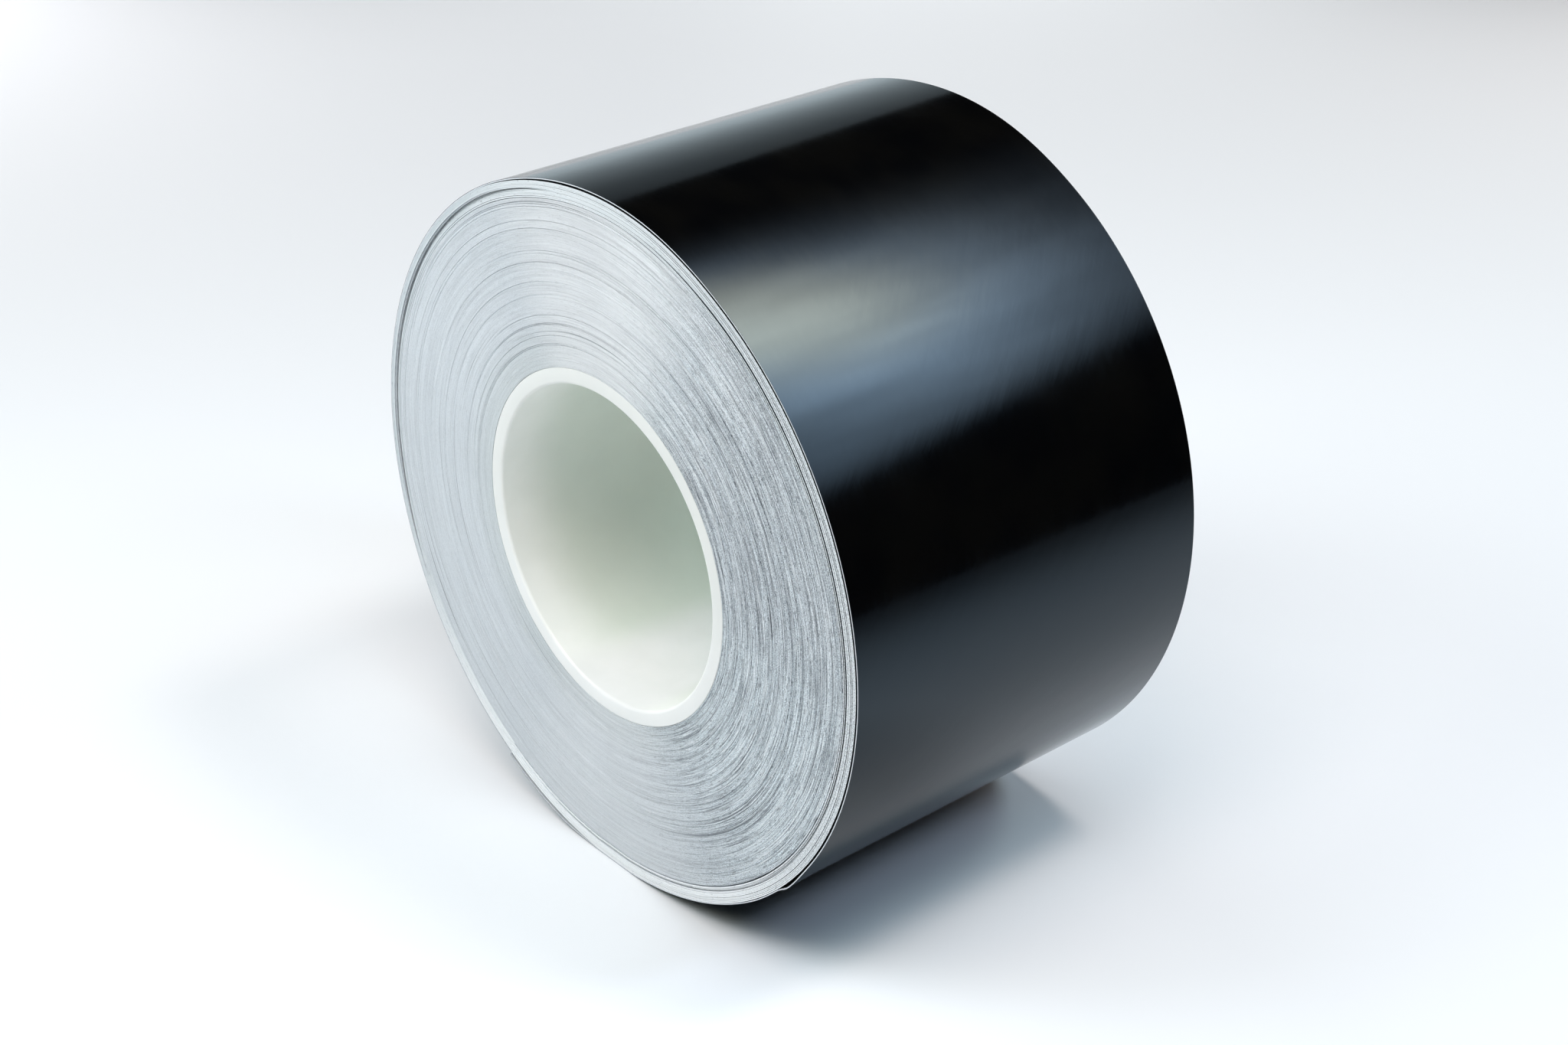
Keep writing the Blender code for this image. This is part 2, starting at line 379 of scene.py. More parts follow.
def round_waves(randoms, angle, count, reach, harmonics=(1, 2, 3)):
    """For each of count turns, a slow change round the roll: an array of turns by angles."""
    total = np.zeros((count, len(angle)))
    for harmonic in harmonics:
        phase = randoms.uniform(0.0, 2.0 * math.pi, (count, 1))
        size = randoms.normal(0.0, reach / harmonic, (count, 1))
        total += size * np.cos(harmonic * np.radians(angle)[None, :] + phase)
    return total


# Node materials --------------------------------------------------------------------------------------


class Nodes:
    """A short way to write a node tree. A value for an input is a number, a tuple or a node's output."""

    def __init__(self, tree):
        self.tree = tree
        tree.nodes.clear()

    def add(self, kind, settings=None, **inputs):
        """Adds a node. An input's name has _ for a space, or is i0, i1 and so on for its place."""
        made = self.tree.nodes.new(kind)
        for name, value in (settings or {}).items():
            setattr(made, name, value)
        for name, value in inputs.items():
            by_place = name[0] == "i" and name[1:].isdigit()
            self.feed(made.inputs[int(name[1:]) if by_place else name.replace("_", " ")], value)
        return made

    def feed(self, socket, value):
        if isinstance(value, bpy.types.NodeSocket):
            self.tree.links.new(value, socket)
        else:
            socket.default_value = value

    def maths(self, operation, a, b=0.0):
        return self.add("ShaderNodeMath", {"operation": operation}, i0=a, i1=b).outputs[0]

    def minus(self, a, b):
        return self.maths("SUBTRACT", a, b)

    def over(self, a, b):
        return self.maths("DIVIDE", a, b)

    def larger(self, a, b):
        return self.maths("MAXIMUM", a, b)

    def plus(self, first, *others):
        for other in others:
            first = self.maths("ADD", first, other)
        return first

    def times(self, first, *others):
        for other in others:
            first = self.maths("MULTIPLY", first, other)
        return first

    def mapped(self, value, low, high, to_low=0.0, to_high=1.0):
        """The value moved from one range to another, eased, and held at its ends.

        With low over high, the result is to_low where the value is over low.
        """
        made = self.add(
            "ShaderNodeMapRange",
            {"interpolation_type": "SMOOTHSTEP"},
            Value=value,
            From_Min=low,
            From_Max=high,
            To_Min=to_low,
            To_Max=to_high,
        )
        return made.outputs["Result"]

    def window(self, value, opens, opened, closes, closed):
        """1 between opened and closes, 0 outside opens and closed, and eased between."""
        return self.times(self.mapped(value, opens, opened), self.mapped(value, closed, closes))

    def near(self, value, centre, reach, strength):
        """The strength where the value is at the centre, and 0 where it is more than reach from it."""
        away = self.maths("ABSOLUTE", self.minus(value, centre))
        return self.mapped(away, 0.0, reach, strength, 0.0)

    def mixed(self, amount, first, second):
        """A colour between two colours."""
        made = self.add("ShaderNodeMix", {"data_type": "RGBA"})
        for place, value in ((0, amount), (6, first), (7, second)):
            self.feed(made.inputs[place], (*value, 1.0) if isinstance(value, tuple) else value)
        return made.outputs[2]

    def noise(self, vector, detail=2.0, roughness=0.5, scale=1.0):
        inputs = {"Vector": vector, "Scale": scale, "Detail": detail, "Roughness": roughness}
        return self.add("ShaderNodeTexNoise", **inputs).outputs["Fac"]

    def combined(self, x, y, z):
        return self.add("ShaderNodeCombineXYZ", X=x, Y=y, Z=z).outputs[0]

    def place(self):
        return self.add("ShaderNodeTexCoord").outputs["Object"]

    def split(self, vector):
        return self.add("ShaderNodeSeparateXYZ", Vector=vector).outputs

    def polar(self):
        """Radius from the roll's axis, cosine and sine of the clock angle, and the place along the axis."""
        x, y, z = self.split(self.place())
        radius = self.maths("SQRT", self.plus(self.times(x, x), self.times(z, z)))
        return radius, self.over(z, radius), self.over(x, radius), y

    def ring_noise(self, across, cosine, sine, pitch, per_radian, detail=1.0, roughness=0.5):
        """Noise in arcs round the axis: how far apart they are, and how many there are in each radian."""
        around = self.times(cosine, per_radian), self.times(sine, per_radian)
        return self.noise(self.combined(self.over(across, pitch), *around), detail, roughness)

    def bump(self, height, strength, distance, after=None):
        inputs = {"Height": height, "Strength": strength, "Distance": distance}
        if after is not None:
            inputs["Normal"] = after
        return self.add("ShaderNodeBump", **inputs).outputs[0]

    def finish(self, **inputs):
        shader = self.add("ShaderNodeBsdfPrincipled", **inputs)
        self.add("ShaderNodeOutputMaterial", Surface=shader.outputs[0])


def new_look(name):
    look = bpy.data.materials.new(name)
    look.use_nodes = True
    return look, Nodes(look.node_tree)


def film_look():
    """Smooth glossy black film, with faint streaks round the roll, slow clouds and slanting wisps."""
    look, nodes = new_look("film_black")
    _, cosine, sine, y = nodes.polar()
    streaks = nodes.ring_noise(y, cosine, sine, 0.7 * MM, 14.0, detail=3.0)
    clouds = nodes.ring_noise(y, cosine, sine, 16.0 * MM, 5.0, detail=2.0)
    blueish, warmer = (0.0012, 0.0013, 0.0016), (0.0022, 0.0021, 0.0019)
    streak_roughness = nodes.mapped(streaks, 0.25, 0.75, 0.0, 0.03)
    cloud_roughness = nodes.mapped(clouds, LOW, HIGH, 0.09, 0.12)
    around = nodes.times(nodes.maths("ARCTAN2", sine, cosine), ROLL_RADIUS)
    along_wisp = nodes.over(nodes.minus(y, around), 40.0 * MM)
    across_wisp = nodes.over(nodes.plus(y, around), 5.0 * MM)
    wisps = nodes.noise(nodes.combined(along_wisp, across_wisp, 0.0), detail=4.0, roughness=0.6)
    cloudy = nodes.bump(clouds, 0.35, 0.08 * MM)
    wispy = nodes.bump(wisps, 0.30, 0.05 * MM, cloudy)
    streaky = nodes.bump(streaks, 0.05, 0.02 * MM, wispy)
    nodes.finish(
        Base_Color=nodes.mixed(nodes.mapped(clouds, LOW, HIGH), blueish, warmer),
        Roughness=nodes.plus(streak_roughness, cloud_roughness),
        Specular_Tint=FILM_TINT,
        Normal=streaky,
    )
    return look


def tight_edge_look():
    """The sheared edges of the tight turns: smooth and pale on one side of the roll, rough and darker on
    the other, partly from the grain and partly as painted shade, with a painted highlight at the top and
    bottom.
    """
    look, nodes = new_look("edges_tight")
    radius, cosine, sine, _ = nodes.polar()
    grain = nodes.ring_noise(radius, cosine, sine, GRAIN_SIZE, GRAIN_PER_RADIAN)
    bands = nodes.ring_noise(radius, cosine, sine, 1.3 * MM, 1.1, detail=3.0, roughness=0.6)
    streaks = nodes.ring_noise(radius, cosine, sine, 0.26 * MM, 2.2, detail=2.0, roughness=0.6)
    dashes = nodes.ring_noise(radius, cosine, sine, 0.24 * MM, 36.0, detail=2.0, roughness=0.6)
    arcs = nodes.ring_noise(radius, cosine, sine, 0.42 * MM, 0.8)
    lines = nodes.ring_noise(radius, cosine, sine, 0.55 * MM, 2.0, detail=2.0)

    # The plain tone: rough on the right, and darker there, partly from the grain and partly as painted
    # shade; a little paler low on that side; and palest at the top and bottom, as a painted highlight.
    rough_side = nodes.mapped(sine, 0.10, 0.85, 0.16, 0.83)
    near_core = nodes.mapped(radius, CORE_RADIUS, INNER_TURNS_RADIUS, 0.75, 0.0)
    smooth = nodes.mixed(near_core, (0.64, 0.675, 0.705), (0.56, 0.60, 0.60))
    low_right = nodes.window(cosine, -0.88, -0.55, -0.15, 0.20)
    rough_dark = nodes.mixed(low_right, (0.14, 0.175, 0.21), (0.22, 0.275, 0.335))
    rough_pale = nodes.mixed(low_right, (0.81, 0.875, 0.92), (0.89, 0.97, 1.00))
    rough = nodes.mixed(nodes.mapped(grain, 0.34, 0.58), rough_dark, rough_pale)
    # Painted highlight: paler towards the top and the bottom of the face.
    top = nodes.mapped(cosine, 0.86, 1.0, 0.0, 0.72)
    bottom = nodes.mapped(cosine, -0.85, -1.0, 0.0, 0.35)
    sides = nodes.mixed(rough_side, smooth, rough)
    tone = nodes.mixed(nodes.larger(top, bottom), sides, (0.79, 0.80, 0.81))

    # On it, the marks: broad bands, streaks, short dashes, thin lines, and a few long dark arcs.
    banded = nodes.mixed(nodes.mapped(bands, 0.30, 0.62, 0.10, 0.0), tone, EDGE_DARK)
    dark_streaks = nodes.times(nodes.mapped(streaks, 0.30, 0.52, 0.75, 0.0), rough_side)
    pale_streaks = nodes.times(nodes.mapped(streaks, 0.54, 0.70, 0.0, 0.6), rough_side)
    streaked = nodes.mixed(pale_streaks, nodes.mixed(dark_streaks, banded, EDGE_DARK), EDGE_PALE)
    dark_dashes = nodes.times(nodes.mapped(dashes, 0.30, 0.45, 1.0, 0.0), rough_side)
    dashed = nodes.mixed(dark_dashes, streaked, EDGE_DARK)
    broken = nodes.times(nodes.mapped(dashes, 0.38, 0.54), rough_side)
    dark_lines = nodes.times(nodes.near(lines, 0.5, 0.05, 0.9), broken)
    pale_lines = nodes.times(nodes.near(lines, 0.585, 0.035, 0.75), rough_side)
    lined = nodes.mixed(pale_lines, nodes.mixed(dark_lines, dashed, EDGE_DARK), EDGE_PALE)
    colour = nodes.mixed(nodes.mapped(arcs, 0.22, 0.33, 0.7, 0.0), lined, EDGE_DARK)

    height = nodes.plus(streaks, nodes.times(grain, rough_side))
    tangent = nodes.add("ShaderNodeTangent", {"direction_type": "RADIAL", "axis": "Y"}).outputs[0]
    nodes.finish(
        Base_Color=colour,
        Metallic=0.25,
        Roughness=0.42,
        Anisotropic=0.75,
        Tangent=tangent,
        Normal=nodes.bump(height, 0.4, 0.04 * MM),
    )
    return look


def loose_edge_look():
    """The cut edges of the loose turns: cleaner than the tight ones, with painted light that makes them
    palest at the bottom and paler at the top.
    """
    look, nodes = new_look("edges_loose")
    radius, cosine, sine, _ = nodes.polar()
    streaks = nodes.ring_noise(radius, cosine, sine, 0.30 * MM, 4.0, detail=3.0)
    marks = nodes.ring_noise(radius, cosine, sine, 0.25 * MM, 50.0, detail=2.0)
    grain = nodes.ring_noise(radius, cosine, sine, GRAIN_SIZE, GRAIN_PER_RADIAN)
    # Painted light: the clean tone is palest at the bottom, where light falls on these turns, and paler at
    # the top as a painted highlight.
    bottom = nodes.mapped(cosine, -0.94, -0.2, 1.0, 0.0)
    top = nodes.mapped(cosine, 0.75, 1.0, 0.0, 0.4)
    clean_and_lit_tone = nodes.mixed(nodes.larger(bottom, top), (0.53, 0.585, 0.61), (0.93, 0.95, 0.96))
    rough = nodes.mixed(nodes.mapped(grain, 0.34, 0.60), (0.20, 0.23, 0.26), (0.86, 0.90, 0.93))
    rough_side = nodes.times(nodes.mapped(sine, 0.10, 0.85, 0.0, 0.9), nodes.mapped(cosine, -0.95, -0.45))
    grained = nodes.mixed(rough_side, clean_and_lit_tone, rough)
    streaked = nodes.mixed(nodes.mapped(streaks, 0.35, 0.70, 0.0, 0.35), grained, EDGE_PALE)
    colour = nodes.mixed(nodes.mapped(marks, 0.24, 0.36, 0.6, 0.0), streaked, EDGE_DARK)
    nodes.finish(Base_Color=colour, Roughness=0.45, Normal=nodes.bump(streaks, 0.3, 0.03 * MM))
    return look


def ply_look():
    """The adhesive side of the strip: pale silver grey, faintly mottled where it has been pulled off."""
    look, nodes = new_look("ply_silver")
    _, cosine, sine, y = nodes.polar()
    mottling = nodes.ring_noise(y, cosine, sine, 2.5 * MM, 40.0, detail=4.0, roughness=0.6)
    streaks = nodes.ring_noise(y, cosine, sine, 0.5 * MM, 6.0, detail=2.0)
    nodes.finish(
        Base_Color=nodes.mixed(nodes.mapped(mottling, LOW, HIGH), (0.60, 0.64, 0.69), (0.74, 0.77, 0.80)),
        Roughness=nodes.mapped(mottling, LOW, HIGH, 0.34, 0.5),
        Normal=nodes.bump(nodes.plus(mottling, streaks), 0.3, 0.04 * MM),
    )
    return look


def core_look():
    """Satin white plastic with faint lines along it and a slight unevenness, and painted shade: the bore
    darker and greener away from its ends except along its bottom, and the end rings greyer towards the top.
    """
    look, nodes = new_look("core_white")
    radius, cosine, sine, y = nodes.polar()
    drawn = nodes.ring_noise(cosine, y, radius, 0.02, 2.0, detail=3.0)
    clouds = nodes.ring_noise(y, cosine, sine, 9.0 * MM, 4.0, detail=3.0)
    in_bore = nodes.mapped(radius, BORE_RADIUS, BORE_RADIUS + LIP_BEVEL, 1.0, 0.0)
    # Painted shade: the bore turns darker and greener away from its ends.
    deep = nodes.mapped(nodes.maths("ABSOLUTE", y), 30.0 * MM, 48.0 * MM, 1.0, 0.0)
    # Painted shade on the end rings: paler at the bottom, greyer towards the top.
    shaded_end_ring = nodes.mixed(nodes.mapped(cosine, -0.9, 0.4), (0.88, 0.885, 0.87), (0.79, 0.80, 0.775))
    sides = nodes.mixed(deep, (0.94, 0.95, 0.92), (0.745, 0.795, 0.725))
    # Along its bottom the bore keeps a plain grey instead of the painted shade, as the part that light
    # falls on.
    wall = nodes.mixed(nodes.mapped(cosine, -0.985, -0.88), (0.87, 0.87, 0.87), sides)
    plain = nodes.mixed(in_bore, shaded_end_ring, wall)
    fine = nodes.noise(nodes.place(), detail=3.0, roughness=0.6, scale=1.0 / (0.8 * MM))
    nodes.finish(
        Base_Color=nodes.mixed(nodes.mapped(clouds, LOW, HIGH, 0.08, 0.0), plain, (0.50, 0.56, 0.50)),
        Roughness=nodes.mapped(fine, LOW, HIGH, 0.30, 0.42),
        Normal=nodes.bump(nodes.plus(fine, drawn), 0.12, 0.02 * MM),
    )
    return look


# Pieces ----------------------------------------------------------------------------------------------


def build_core(look):
    """A turned tube with rounded lips."""
    arc = np.radians(np.linspace(0.0, 90.0, ROUNDING_POINTS))
    lip = [(BORE_RADIUS + LIP_BEVEL * (1.0 - math.cos(t)), LIP_BEVEL * (1.0 - math.sin(t))) for t in arc]
    rim = [
        (CORE_RADIUS - RIM_ROUNDING * (1.0 - math.sin(t)), RIM_ROUNDING * (1.0 - math.cos(t))) for t in arc
    ]
    half = lip + rim
    profile = [(r, FRONT + inset) for r, inset in half] + [(r, BACK - inset) for r, inset in reversed(half)]
    radii, places = (np.array(column) for column in zip(*profile))
    angle = np.arange(CORE_SEGMENTS)[:, None] * 360.0 / CORE_SEGMENTS
    sections = at_clock(angle, radii[None, :], places[None, :])
    mesh = swept_mesh("core_moulding", sections, True, [0] * len(profile), [look])
    add_piece("core_moulding", mesh, "roll", "core_plastic", "core_tube")


def face_relief(randoms, angle, turns):
    """How far each turn's cut edge stands out, and how deep the groove beside it is, by turn and angle."""
    wander = smooth_wander(randoms, turns, EDGE_WANDER_TURNS, EDGE_WANDER)
    standing = wander + randoms.normal(0.0, EDGE_SCATTER, turns)
    is_proud = randoms.random(turns) < PROUD_TURNS
    proud = np.where(is_proud, randoms.normal(0.0, PROUD_SCATTER, turns), 0.0)
    height = (standing + proud)[:, None] + round_waves(randoms, angle, turns, EDGE_WAVES)
    deepest_at = randoms.uniform(0.0, 360.0, (turns, 1))
    arc = np.cos(np.radians(angle[None, :] - deepest_at))
    is_deep = randoms.random((turns, 1)) < DEEP_GROOVES
    rough_side = ease(np.sin(np.radians(angle)), -0.2, 0.8)
    rough = SMOOTH_SIDE_RELIEF + (1.0 - SMOOTH_SIDE_RELIEF) * rough_side
    groove = GROOVE_DEPTH * rough + np.where(is_deep, DEEP_GROOVE_DEPTH * ease(arc, -0.3, 0.5), 0.0)
    return height * rough, groove


def ring(radius):
    """An outer surface with the same radius all round."""
    return lambda angle: np.full(np.shape(angle), radius)


def build_pack_group(name, inner, outer, look, slot, node, randoms):
    """Tight turns from one radius to another, each with its own edge on the front and back faces."""
    angle = np.arange(SEGMENTS_PER_TURN) * 360.0 / SEGMENTS_PER_TURN + TURN_UNDER_TIP
    turns = int(round((np.mean(outer(angle)) - inner) / STRIP_THICKNESS))
    widths = 1.0 + randoms.uniform(-TURN_WIDTH_SPREAD, TURN_WIDTH_SPREAD, turns)
    edges = np.concatenate([[0.0], np.cumsum(widths) / widths.sum()])
    fractions = []
    for low, high in zip(edges, edges[1:]):
        fractions += [low, low + INNER_SLOPE * (high - low), high - OUTER_SLOPE * (high - low)]
    fractions = np.array(fractions + [1.0])
    radii = inner + fractions[None, :] * (outer(angle)[:, None] - inner)
    faces = []
    for end, outward in END_FACES:
        height, groove = face_relief(randoms, angle, turns)
        crest = np.repeat(height, 3, axis=0)
        crest[0::3] -= groove
        crest = np.vstack([crest, crest[-1:]]).T
        faces.append(at_clock(angle[:, None], radii, end + outward * crest))
    sections = np.concatenate([faces[0], faces[1][:, ::-1]], axis=1)
    mesh = swept_mesh(name, sections, True, [0] * sections.shape[1], [look], sharp_angle=50.0)
    add_piece(name, mesh, "roll", slot, node)


def loose_pass_mesh(name, first_pass, last_pass, looks, randoms):
    """Some passes of the strip as one long ribbon. Its faces have the looks of the film, edges and ply."""
    turns = last_pass - first_pass + 1
    back_from_tip = np.linspace(0.0, 360.0 * turns, SEGMENTS_PER_TURN * turns + 1)
    passes = np.minimum(back_from_tip // 360.0, turns - 1).astype(int)
    angle = TIP - (back_from_tip - 360.0 * passes)
    surface = np.concatenate([strip_surface(first_pass + k, angle[passes == k]) for k in range(turns)])
    ends = []
    for end, outward in END_FACES:
        strays_at_turns = randoms.uniform(-LOOSE_EDGE_STRAY, LOOSE_EDGE_STRAY, turns + 1)
        wander = np.interp(back_from_tip / 360.0, np.arange(turns + 1), strays_at_turns)
        ripple = round_waves(randoms, back_from_tip / turns, 1, LOOSE_EDGE_RIPPLE, LOOSE_RIPPLE_WAVES)[0]
        ends.append(end + outward * (wander + ripple))
    front, back = ends
    for number, opens, opened, closes, closed, depth in RECESSES:
        here = ease(angle, opens, opened) * (1.0 - ease(angle, closes, closed))
        front = front + np.where(first_pass + passes == number, depth * here, 0.0)
    depths = (0.0, FILM_THICKNESS, STRIP_THICKNESS)
    corners = [at_clock(angle, surface - depth, front) for depth in depths]
    corners += [at_clock(angle, surface - depth, back) for depth in reversed(depths)]
    sections = np.stack(corners, axis=1)
    film, edge, under = 0, 1, 2
    return swept_mesh(name, sections, False, [edge, edge, under, edge, edge, film], looks)


def build_loose_turns(looks, randoms):
    """The loose passes in three groups, from the outside in. The last turn, pass 0, is built on its own."""
    groups = (
        ("loose_turns_outer", "loose_turns_3"),
        ("loose_turns_middle", "loose_turns_2"),
        ("loose_turns_inner", "loose_turns_1"),
    )
    for number, (name, node) in enumerate(groups):
        first_pass = 1 + number * PASSES_PER_GROUP
        last_pass = min(first_pass + PASSES_PER_GROUP, LOOSE_PASSES) - 1
        mesh = loose_pass_mesh(name, first_pass, last_pass, looks, randoms)
        add_piece(name, mesh, "roll", "cut_edges", node)


def last_turn_mesh(name, first, last, top, bottom, look):
    """A stretch of the last turn's film or ply, between two clock angles and two depths in the strip."""
    segments = max(int(round((last - first) * FINE_SEGMENTS_PER_TURN / 360.0)), 2)
    angle = np.linspace(first, last, segments + 1)[:, None]
    y = np.concatenate([FRONT + ROWS_FROM_EDGE, [0.0], BACK - ROWS_FROM_EDGE[::-1]])[None, :]
    surface = last_surface(angle) + wrinkle(angle, y)
    outside = at_clock(angle, surface - top, y)
    inside = at_clock(angle, surface - bottom, y)
    sections = np.concatenate([outside, inside[:, ::-1]], axis=1)
    return swept_mesh(name, sections, False, [0] * sections.shape[1], [look])


def build_last_turn(film, ply):
    """The outermost turn, and its free end in stretches, one from half a link before each of the tail's
    hinges.
    """
    plies = (
        ("film", 0.0, FILM_THICKNESS, film, "backing_film"),
        ("adhesive", FILM_THICKNESS + PLY_GAP, STRIP_THICKNESS, ply, "adhesive_ply"),
    )
    hinge_angles = [clock_of(hinge) for hinge in HINGES]
    half_link = LINK_ANGLE / 2.0
    splits = [angle - half_link for angle in hinge_angles] + [TIP]
    for kind, top, bottom, look, slot in plies:
        name = f"last_turn_{kind}"
        mesh = last_turn_mesh(name, TURN_UNDER_TIP, splits[0], top, bottom, look)
        add_piece(name, mesh, "roll", slot, f"outermost_turn_{kind}")
        for number, hinge_angle in enumerate(hinge_angles, 1):
            name = f"free_end_{kind}_{number}"
            mesh = last_turn_mesh(name, splits[number - 1], splits[number], top, bottom, look)
            piece = add_piece(name, mesh, None, slot, f"tail_{number}_{kind}")
            start, end = (
                tuple(at_clock(hinge_angle + side * half_link, ROLL_RADIUS + TAIL_LIFT, 0.0))
                for side in (-1.0, 1.0)
            )
            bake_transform(piece)


# Stage -----------------------------------------------------------------------------------------------


def build_camera():
    camera = bpy.data.objects.new("camera", bpy.data.cameras.new("camera"))
    camera.data.lens = CAMERA_LENS
    camera.location = CAMERA_PLACE
    camera.rotation_euler = (math.radians(90.0 - CAMERA_ELEVATION), 0.0, math.radians(CAMERA_HEADING))
    bpy.context.scene.collection.objects.link(camera)
    bpy.context.scene.camera = camera


def from_origin(azimuth, elevation, distance):
    flat = distance * math.cos(math.radians(elevation))
    turn = math.radians(azimuth)
    return (flat * math.cos(turn), flat * math.sin(turn), distance * math.sin(math.radians(elevation)))


def add_panel(name, centre, facing, size, look):
    """A flat card of the stage that faces a point, and that only reflections show."""
    across, up = size[0] / 2.0, size[1] / 2.0
    mesh = bpy.data.meshes.new(name)
    corners = [(-across, -up, 0.0), (across, -up, 0.0), (across, up, 0.0), (-across, up, 0.0)]
    mesh.from_pydata(corners, [], [(0, 1, 2, 3)])
    mesh.materials.append(look)
    panel = bpy.data.objects.new(name, mesh)
    panel.location = centre
    panel.rotation_euler = (Vector(facing) - Vector(centre)).to_track_quat("Z", "Y").to_euler()
    bpy.context.scene.collection.objects.link(panel)
    panel.visible_camera = False
    panel.visible_diffuse = False
    panel.visible_shadow = False
    panel.visible_transmission = False


def bell(nodes, x, y, centre, spread, slant=0.0):
    """A round hill over x and y, 1 at its centre. The slant leans its outline."""
    dx = nodes.over(nodes.minus(x, centre[0]), spread[0])
    dy = nodes.over(nodes.minus(y, centre[1]), spread[1])
    squares = nodes.plus(nodes.times(dx, dx), nodes.times(dy, dy))
    return nodes.maths("EXPONENT", nodes.minus(nodes.times(dx, dy, 2.0 * slant), squares))


def softbox_look():
    """A lamp behind a diffuser: bright and warm at one spot, and falling away from it."""
    look, nodes = new_look("softbox")
    place = nodes.place()
    x, y, _ = nodes.split(place)
    glow = bell(nodes, x, y, SOFTBOX_HOT, SOFTBOX_SPREAD, SOFTBOX_SLANT)
    bright = nodes.plus(nodes.times(glow, SOFTBOX_PEAK), SOFTBOX_REST)
    above_edge = nodes.mapped(y, SOFTBOX_EDGE - SOFTBOX_EDGE_WIDTH, SOFTBOX_EDGE + SOFTBOX_EDGE_WIDTH)
    beside = nodes.mapped(x, SOFTBOX_FADE_FROM, SOFTBOX_FADE_TO)
    uneven = nodes.noise(place, detail=3.0, roughness=0.6, scale=14.0)
    evenness = nodes.mapped(uneven, LOW, HIGH, 1.0 - SOFTBOX_UNEVENNESS, 1.0 + SOFTBOX_UNEVENNESS)
    warmth = nodes.mapped(nodes.times(glow, above_edge), 0.30, 0.95)
    lamp = nodes.add(
        "ShaderNodeEmission",
        Color=nodes.mixed(warmth, SOFTBOX_COOL, SOFTBOX_WARM),
        Strength=nodes.times(bright, above_edge, beside, evenness),
    )
    nodes.add("ShaderNodeOutputMaterial", Surface=lamp.outputs[0])
    return look


def black_look():
    look, nodes = new_look("stage_black")
    nodes.finish(Base_Color=(0.0, 0.0, 0.0, 1.0), Roughness=0.9, Specular_IOR_Level=0.0)
    return look


def floor_look():
    """A pale matt floor. Its tones, glow and dimming in reflections stand for a larger studio's light."""
    look, nodes = new_look("stage_floor")
    x, y, _ = nodes.split(nodes.place())
    mirrored = nodes.add("ShaderNodeLightPath").outputs["Is Glossy Ray"]

    distance = nodes.maths("SQRT", nodes.plus(nodes.times(x, x), nodes.times(y, y)))
    far_glow = nodes.mapped(distance, FAR_GLOW_FROM, FAR_GLOW_TO, 0.0, FAR_GLOW)
    spot_glow = nodes.times(bell(nodes, x, y, SPOT_PLACE, SPOT_SPREAD), SPOT_GLOW)

    # Painted shade in reflections: behind the roll, and beside it for its shadow.
    behind = nodes.plus(nodes.times(x, BEHIND_WAY[0]), nodes.times(y, BEHIND_WAY[1]))
    behind_dimmed = nodes.mapped(behind, BEHIND_FROM, BEHIND_TO, 0.0, BEHIND_DIMMING)
    beside_dimmed = nodes.times(nodes.window(x, *BESIDE_X), nodes.window(y, *BESIDE_Y), BESIDE_DIMMING)
    dimmed = nodes.times(nodes.larger(behind_dimmed, beside_dimmed), mirrored)

    # Painted shade: darker towards -X and -Y.
    darker = nodes.mapped(nodes.plus(x, y), DARKER_FROM, DARKER_TO)
    tone = nodes.mixed(darker, FLOOR_TONE, FLOOR_DARKER_TONE)
    nodes.finish(
        Base_Color=nodes.mixed(dimmed, tone, (0.0, 0.0, 0.0)),
        Roughness=0.9,
        Specular_IOR_Level=0.0,
        Emission_Color=GLOW_COLOUR,
        Emission_Strength=nodes.plus(far_glow, spot_glow),
    )
    return look


def build_stage():
    bpy.ops.mesh.primitive_plane_add(size=FLOOR_SIZE, location=(0.0, 0.0, FLOOR - FLOOR_DROP))
    floor = bpy.context.object
    floor.name = "stage_floor"
    floor.data.materials.append(floor_look())
    softbox_place = from_origin(*SOFTBOX_PLACE)
    add_panel("stage_softbox", softbox_place, (0.0, 0.0, 0.0), SOFTBOX_SIZE, softbox_look())
    card_place = from_origin(*CARD_PLACE)
    add_panel("stage_black_card", card_place, (0.0, 0.0, card_place[2]), CARD_SIZE, black_look())


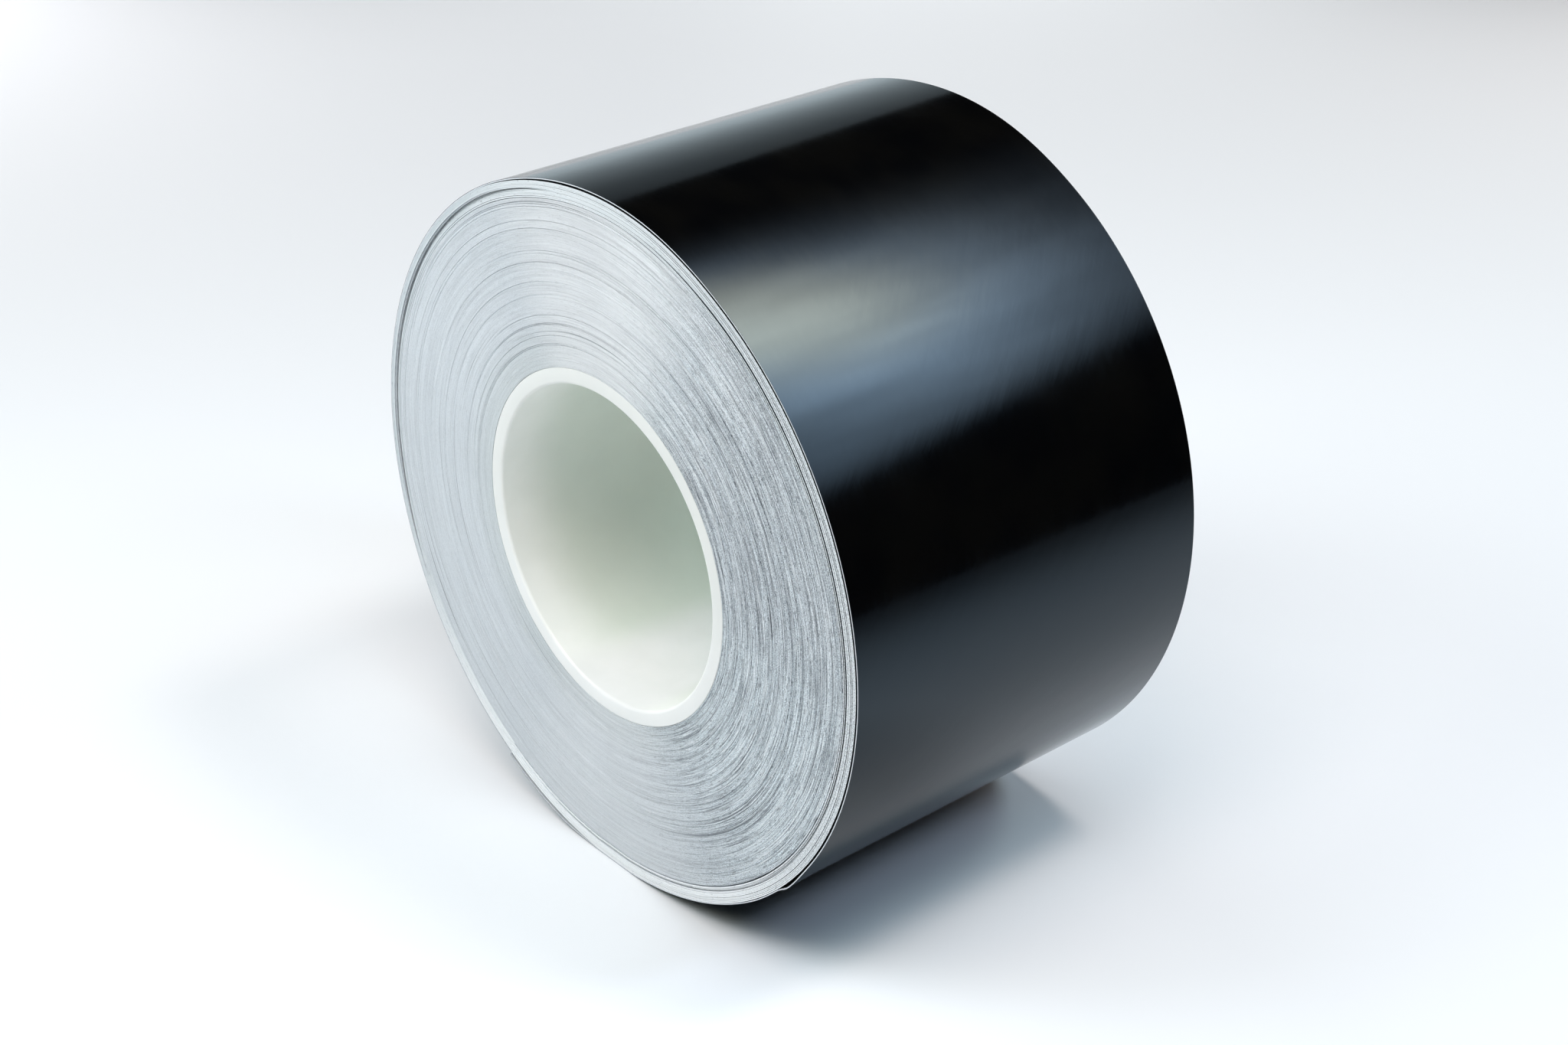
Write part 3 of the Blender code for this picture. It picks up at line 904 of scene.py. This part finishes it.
def build_lamps():
    """Square soft lamps round the roll. The ones behind it aren't mirrored: the softbox stands for them."""
    for number, (azimuth, elevation, distance, size, colour) in enumerate(LAMPS, 1):
        name = f"lamp_{number}"
        lamp = bpy.data.objects.new(name, bpy.data.lights.new(name, "AREA"))
        lamp.data.shape = "SQUARE"
        lamp.data.size = size
        strength = max(colour)
        lamp.data.color = [value / strength for value in colour]
        lamp.data.energy = strength * math.pi * size**2
        lamp.location = from_origin(azimuth, elevation, distance)
        lamp.rotation_euler = (-lamp.location).to_track_quat("-Z", "Y").to_euler()
        lamp.visible_camera = False
        in_front = azimuth > 180
        lamp.visible_glossy = in_front
        bpy.context.scene.collection.objects.link(lamp)


def build_world():
    """A pale backdrop for the camera, a wall that fades upwards for the gloss, and no other light."""
    world = bpy.data.worlds.new("studio")
    world.use_nodes = True
    bpy.context.scene.world = world
    nodes = Nodes(world.node_tree)
    direction = nodes.add("ShaderNodeTexCoord").outputs["Generated"]
    fade = nodes.add("ShaderNodeValToRGB", Fac=nodes.split(direction)[2])
    stops = fade.color_ramp.elements
    stops[0].position, stops[1].position = WALL_LEVELS[0][0], WALL_LEVELS[-1][0]
    for height, _ in WALL_LEVELS[1:-1]:
        stops.new(height)
    for stop, (_, level) in zip(stops, WALL_LEVELS):
        stop.color = (*(level * tint for tint in WALL_TINT), 1.0)
    rays = nodes.add("ShaderNodeLightPath").outputs
    mirrored = nodes.mixed(rays["Is Glossy Ray"], (0.0, 0.0, 0.0), fade.outputs[0])
    colour = nodes.mixed(rays["Is Camera Ray"], mirrored, BACKDROP)
    background = nodes.add("ShaderNodeBackground", Color=colour, Strength=1.0)
    nodes.add("ShaderNodeOutputWorld", Surface=background.outputs[0])
    bpy.context.scene.view_settings.view_transform = "Standard"


def build_all():
    randoms = np.random.default_rng(RANDOM_SEED)
    film = film_look()
    ply = ply_look()
    tight_edges = tight_edge_look()
    build_camera()
    build_world()
    build_stage()
    build_lamps()
    build_core(core_look())
    inner_wall = CORE_RADIUS + TOUCHING_GAP
    inner_ring, middle_ring = ring(INNER_TURNS_RADIUS), ring(MIDDLE_TURNS_RADIUS)
    groups = (
        ("tight_turns_inner", inner_wall, inner_ring, "dense_cut_edges", "wound_turns_inner"),
        ("tight_turns_middle", INNER_TURNS_RADIUS, middle_ring, "cut_edges", "wound_turns_middle"),
        ("tight_turns_outer", MIDDLE_TURNS_RADIUS, pack_surface, "cut_edges", "wound_turns_outer"),
    )
    for name, inner, outer, slot, node in groups:
        build_pack_group(name, inner, outer, tight_edges, slot, node, randoms)
    build_loose_turns([film, loose_edge_look(), ply], randoms)
    build_last_turn(film, ply)


build_all()
